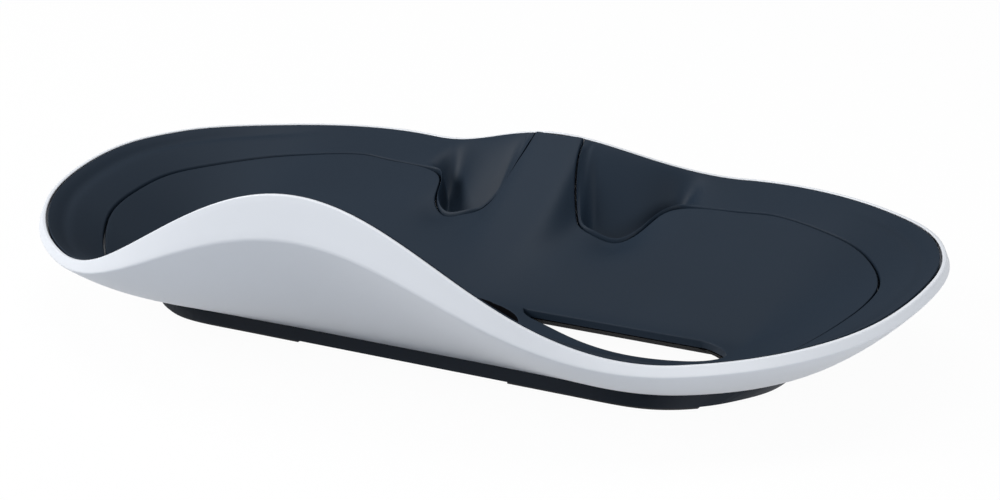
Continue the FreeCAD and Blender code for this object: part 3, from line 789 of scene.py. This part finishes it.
def cut_with(piece, cutter):
    make_active(piece)
    cut = piece.modifiers.new("cut", "BOOLEAN")
    cut.object = cutter
    cut.operation = "DIFFERENCE"
    cut.solver = "EXACT"
    bpy.ops.object.modifier_apply(modifier=cut.name)
    bpy.data.objects.remove(cutter, do_unlink=True)


def round_bar(low, high, gap, axis):
    """Box with round ends over a node's place, grown by a gap, to cut with."""
    low, high = Vector(low), Vector(high)
    size = high - low
    across = [0, 1, 2]
    across.remove(axis)
    for i in across:
        size[i] += 2 * gap
    size[axis] += 20 * MM
    deselect()
    bpy.ops.mesh.primitive_cube_add(size=1, location=(low + high) / 2)
    bar = bpy.context.object
    bar.scale = size
    bpy.ops.object.transform_apply(location=True, rotation=True, scale=True)
    bpy.ops.object.mode_set(mode="EDIT")
    bpy.ops.mesh.select_all(action="DESELECT")
    mesh = bmesh.from_edit_mesh(bar.data)
    for edge in mesh.edges:
        run = edge.verts[0].co - edge.verts[1].co
        edge.select = abs(run[axis]) > run.length * 0.9
    bmesh.update_edit_mesh(bar.data)
    bpy.ops.mesh.bevel(offset=min(size[i] for i in across) * 0.49, segments=10, affect="EDGES")
    bpy.ops.object.mode_set(mode="OBJECT")
    return bar


# Mask for the painted shade on the oval well's wall, which only lies in shadow
def on_oval_wall(middle, normal):
    depth = oval_back_depth if middle.y > oval_middle else oval_front_depth
    reach = math.hypot(middle.x / (oval_half_length + 0.3),
                       (middle.y - oval_middle) / (depth + 0.3))
    return reach < 1.0 and abs(normal.z) < 0.8


# Mask for the painted shade on the base's faces inside the bays' holes and the oval well, which only lie in
# shadow
def in_opening(middle, normal):
    if middle.z <= base_underside:
        return False
    return any(abs(middle.x) < reach and front < middle.y < back
               for reach, front, back in (bay_painted_shade_reach, well_painted_shade_reach))


def paint_opening_shade(piece, inside):
    """Painted shade: near-black material on the faces that lie inside an opening, by the test given,
    standing in for the shadow on those deep walls.
    """
    # This near-black colour is painted shade, not the plastic's own colour
    black = moulded("well_painted_shade", (0.002, 0.002, 0.003), 0.9, 0.4, 0.4 * MM, 0.08, 0.05)
    piece.data.materials.append(black)
    for face in piece.data.polygons:
        if inside(face.center / MM, face.normal):
            face.material_index = 1


# Pieces

class STATION_OT_stage(bpy.types.Operator):
    """Floor, camera, lamps and world"""
    bl_idname = "station.stage"
    bl_label = "Stage"

    def execute(self, context):
        scene = context.scene
        scene.view_settings.view_transform = "Standard"
        camera_data = bpy.data.cameras.new("camera")
        camera = bpy.data.objects.new("camera", camera_data)
        scene.collection.objects.link(camera)
        camera.location = (0.2989, -0.5259, 0.2207)
        camera.rotation_euler = (math.radians(72), 0, math.radians(28.385))
        camera_data.sensor_width = 36
        camera_data.lens = 78.44
        camera_data.clip_start = 0.01
        scene.camera = camera
        deselect()
        bpy.ops.mesh.primitive_plane_add(size=8)
        floor = context.object
        floor.name = "floor"
        floor.data.materials.append(self.floor_material())
        self.lamp(scene, "overhead", (-0.1, 0.1, 1.3), (0, 0, 0), 1.1, 8.0)
        self.lamp(scene, "left_key", (-1.2, -0.68, 0.76), (0, 0, 0.02), 0.8, 17.0)
        self.lamp(scene, "front_fill", (1.2, -0.8, 0.3), (0.03, 0, 0.02), 1.0, 10.5)
        world = bpy.data.worlds.new("world")
        scene.world = world
        world.use_nodes = True
        sky = world.node_tree.nodes["Background"]
        sky.inputs["Color"].default_value = (0.93, 0.96, 1.0, 1)
        sky.inputs["Strength"].default_value = 0.22
        return {"FINISHED"}

    def lamp(self, scene, name, place, target, size, power):
        data = bpy.data.lights.new(name, "AREA")
        data.shape = "DISK"
        data.size = size
        data.energy = power
        lamp = bpy.data.objects.new(name, data)
        lamp.location = place
        aim = Vector(target) - Vector(place)
        lamp.rotation_euler = aim.to_track_quat("-Z", "Y").to_euler()
        scene.collection.objects.link(lamp)

    def floor_material(self):
        material, tree = node_tree("floor")
        links = tree.links
        shader = tree.nodes["Principled BSDF"]
        shader.inputs["Roughness"].default_value = 0.9
        out = tree.nodes["Material Output"]
        glow = tree.nodes.new("ShaderNodeEmission")
        glow.inputs["Strength"].default_value = 1.0
        path = tree.nodes.new("ShaderNodeLightPath")
        seen = tree.nodes.new("ShaderNodeMath")
        seen.operation = "MAXIMUM"
        share = tree.nodes.new("ShaderNodeMath")
        share.operation = "MULTIPLY"
        share.inputs[1].default_value = 0.96
        tint = tree.nodes.new("ShaderNodeMix")
        tint.data_type = "RGBA"
        tint.inputs["A"].default_value = (0.36, 0.39, 0.43, 1)
        tint.inputs["B"].default_value = (0.92, 0.92, 0.92, 1)
        links.new(path.outputs["Is Camera Ray"], tint.inputs["Factor"])
        links.new(tint.outputs["Result"], shader.inputs["Base Color"])
        mix = tree.nodes.new("ShaderNodeMixShader")
        links.new(path.outputs["Is Camera Ray"], seen.inputs[0])
        links.new(path.outputs["Is Glossy Ray"], seen.inputs[1])
        links.new(seen.outputs[0], share.inputs[0])
        links.new(share.outputs[0], mix.inputs["Fac"])
        links.new(shader.outputs["BSDF"], mix.inputs[1])
        links.new(glow.outputs["Emission"], mix.inputs[2])
        links.new(mix.outputs["Shader"], out.inputs["Surface"])
        return material


class STATION_OT_outer_shell(bpy.types.Operator):
    """Pale outer moulding with the hump at the front"""
    bl_idname = "station.outer_shell"
    bl_label = "Outer shell"

    def execute(self, context):
        finish = context.scene.station_finish
        material = moulded("satin_white", finish.shell_colour, 0.38, 0.12, 0.3 * MM, 0.01)
        piece = shell_skin("shell_moulding")
        low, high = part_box("inlet_bezel")
        half = Vector((inlet_width / 2, 0, inlet_tallness / 2)) * MM
        middle = Vector((0, (low[1] + high[1]) / 2, inlet_level * MM))
        reach = Vector((0, (high[1] - low[1]) / 2, 0))
        cut_with(piece, round_bar(middle - half - reach, middle + half + reach, 0, 1))
        make_active(piece)
        bpy.ops.object.shade_smooth_by_angle(angle=smooth_angle)
        finish_piece(piece, ["outer_shell"], material)
        return {"FINISHED"}


class STATION_OT_tray(bpy.types.Operator):
    """Dark surround with its pockets, and the dished tray"""
    bl_idname = "station.tray"
    bl_label = "Tray and surround"

    def execute(self, context):
        finish = context.scene.station_finish
        material = moulded("satin_blue_black", finish.tray_colour, 0.55, 0.3, 0.28 * MM, 0.08, 0.2)
        around = surround_skin("surround_moulding")
        for side in ("left", "right"):
            low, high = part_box(f"{side}_contact_block")
            cut_with(around, round_bar(low, high, part_gap * MM, 2))
        make_active(around)
        bpy.ops.object.shade_smooth_by_angle(angle=smooth_angle)
        finish_piece(around, ["surround"], material)
        tray = tray_skin("tray_moulding")
        joined(tray, [tray_boss(side * x, y) for x, y in boss_places for side in (1, -1)])
        make_active(tray)
        bpy.ops.object.shade_smooth_by_angle(angle=smooth_angle)
        finish_piece(tray, ["centre_tray"], material)
        # Painted shade: near-black faces on the oval well's wall, which only lies in shadow
        paint_opening_shade(tray, on_oval_wall)
        return {"FINISHED"}


class STATION_OT_base(bpy.types.Operator):
    """Base plate with its posts and sleeves"""
    bl_idname = "station.base"
    bl_label = "Base plate"

    def execute(self, context):
        finish = context.scene.station_finish
        material = moulded("base_grain", finish.base_colour, 0.58, 0.4, 0.4 * MM, 0.08, 0.22)
        piece = dressed("base_plate", "base_moulding", material, 0, 30.0)
        # Painted shade: near-black faces on the base inside the bays' holes and the oval well, which only
        # lie in shadow
        paint_opening_shade(piece, in_opening)
        return {"FINISHED"}


class STATION_OT_feet(bpy.types.Operator):
    """Four rubber feet"""
    bl_idname = "station.feet"
    bl_label = "Feet"

    def execute(self, context):
        finish = context.scene.station_finish
        edges = context.scene.station_edges
        material = moulded("foot_rubber", finish.foot_colour, 0.75, 0.6, 0.5 * MM)
        for side in ("left", "right"):
            for row in ("front", "rear"):
                node = f"{side}_{row}_foot"
                dressed(node, f"{side}_{row}_pad", material, edges.moulded_edge)
        return {"FINISHED"}


class STATION_OT_inlet(bpy.types.Operator):
    """Trim and metal socket of the power inlet"""
    bl_idname = "station.inlet"
    bl_label = "Power inlet"

    def execute(self, context):
        edges = context.scene.station_edges
        trim = moulded("trim_black", (0.012, 0.014, 0.019), 0.4)
        plated = metal("plated_socket", (0.62, 0.62, 0.63), 0.3)
        dressed("inlet_bezel", "inlet_trim", trim, edges.metal_edge)
        dressed("power_socket", "inlet_socket", plated, 0)
        return {"FINISHED"}


class STATION_OT_contacts(bpy.types.Operator):
    """Contact blocks, pads, small boards and leads"""
    bl_idname = "station.contacts"
    bl_label = "Contacts"

    def execute(self, context):
        edges = context.scene.station_edges
        trim = moulded("contact_black", (0.012, 0.014, 0.018), 0.45)
        brass = metal("contact_brass", (0.80, 0.60, 0.25), 0.25)
        lacquer = board_lacquer("small_board")
        jacket = moulded("lead_jacket", (0.02, 0.02, 0.022), 0.5, 0.2)
        for side in ("left", "right"):
            dressed(f"{side}_contact_block", f"{side}_block", trim,
                    edges.moulded_edge)
            dressed(f"{side}_contact_pads", f"{side}_pads", brass,
                    edges.metal_edge)
            dressed(f"{side}_contact_board", f"{side}_small_board", lacquer,
                    edges.metal_edge)
            dressed(f"{side}_contact_lead", f"{side}_lead", jacket, 0)
        return {"FINISHED"}


class STATION_OT_board(bpy.types.Operator):
    """Charging board, its components and headers"""
    bl_idname = "station.board"
    bl_label = "Board"

    def execute(self, context):
        edges = context.scene.station_edges
        lacquer = board_lacquer("main_board_lacquer")
        black = moulded("component_black", (0.014, 0.014, 0.015), 0.55, 0.4)
        pale = moulded("header_cream", (0.62, 0.60, 0.53), 0.5)
        dressed("main_board", "board_plate", lacquer, edges.metal_edge)
        dressed("board_parts", "board_components", black, edges.metal_edge)
        for side in ("left", "right"):
            dressed(f"{side}_lead_header", f"{side}_header", pale,
                    edges.metal_edge)
        return {"FINISHED"}


class STATION_OT_metalwork(bpy.types.Operator):
    """Ballast plates and all the screws"""
    bl_idname = "station.metalwork"
    bl_label = "Ballast and screws"

    def execute(self, context):
        edges = context.scene.station_edges
        steel = metal("rolled_steel", (0.42, 0.43, 0.45), 0.4)
        zinc = metal("zinc_screw", (0.55, 0.56, 0.58), 0.32)
        for side in ("left", "right"):
            dressed(f"{side}_ballast", f"{side}_ballast_plate", steel,
                    edges.moulded_edge)
        for node in ("base_screws", "board_screws", "ballast_screws"):
            dressed(node, node.replace("screws", "screw_set"), zinc,
                    edges.metal_edge)
        return {"FINISHED"}


steps = (
    STATION_OT_stage, STATION_OT_outer_shell, STATION_OT_tray, STATION_OT_base, STATION_OT_feet,
    STATION_OT_inlet, STATION_OT_contacts, STATION_OT_board, STATION_OT_metalwork)


class STATION_PT_panel(bpy.types.Panel):
    """Lists the pieces of the station"""
    bl_idname = "STATION_PT_panel"
    bl_label = "Charging station"
    bl_space_type = "VIEW_3D"
    bl_region_type = "UI"
    bl_category = "Station"

    def draw(self, context):
        for group in (context.scene.station_finish, context.scene.station_edges):
            for name in group.bl_rna.properties.keys():
                if name not in ("rna_type", "name"):
                    self.layout.prop(group, name)
        for step in steps:
            self.layout.operator(step.bl_idname)


classes = (StationFinish, StationEdges) + steps + (STATION_PT_panel,)


def register():
    for entry in classes:
        bpy.utils.register_class(entry)
    bpy.types.Scene.station_finish = PointerProperty(type=StationFinish)
    bpy.types.Scene.station_edges = PointerProperty(type=StationEdges)


def unregister():
    del bpy.types.Scene.station_edges
    del bpy.types.Scene.station_finish
    for entry in reversed(classes):
        bpy.utils.unregister_class(entry)


def main():
    register()
    bpy.ops.station.stage()
    bpy.ops.station.outer_shell()
    bpy.ops.station.tray()
    bpy.ops.station.base()
    bpy.ops.station.feet()
    bpy.ops.station.inlet()
    bpy.ops.station.contacts()
    bpy.ops.station.board()
    bpy.ops.station.metalwork()


if __name__ == "__main__":
    main()
